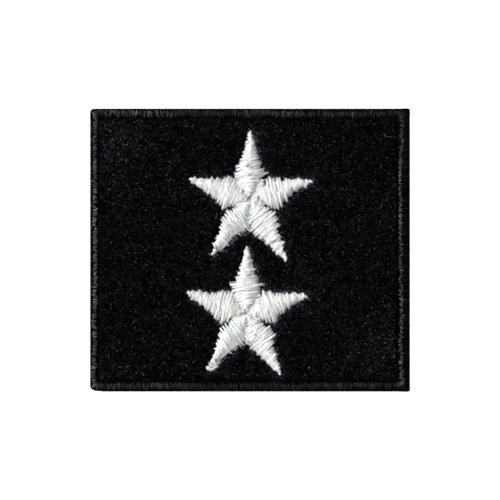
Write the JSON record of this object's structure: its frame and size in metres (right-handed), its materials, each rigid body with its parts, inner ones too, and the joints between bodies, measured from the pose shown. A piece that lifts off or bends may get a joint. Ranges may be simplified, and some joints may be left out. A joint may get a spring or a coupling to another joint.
{
  "type": "beret rank badge",
  "caption": "Flat rectangular felt rank badge with raised embroidered five-pointed stars and an overcast thread border, for sewing to a beret.",
  "frame": {"origin": "under the middle of the badge, on the surface it lies on", "axes": "+Z out of the face, +Y to the top of the badge, +X to the right of the badge seen from the front"},
  "size_m": [0.045, 0.0398, 0.0026],
  "materials": {
    "black_felt": "matt black wool felt",
    "border_thread": "dark grey thread, slight sheen",
    "star_thread": "white embroidery thread, satin sheen"
  },
  "bodies": {
    "root": {"felt_ground": "black_felt", "edge_border": "border_thread", "upper_star_top_arm": "star_thread", "upper_star_right_arm": "star_thread", "upper_star_lower_right_arm": "star_thread", "upper_star_lower_left_arm": "star_thread", "upper_star_left_arm": "star_thread", "lower_star_top_arm": "star_thread", "lower_star_right_arm": "star_thread", "lower_star_lower_right_arm": "star_thread", "lower_star_lower_left_arm": "star_thread", "lower_star_left_arm": "star_thread"}
  },
  "joints": []
}
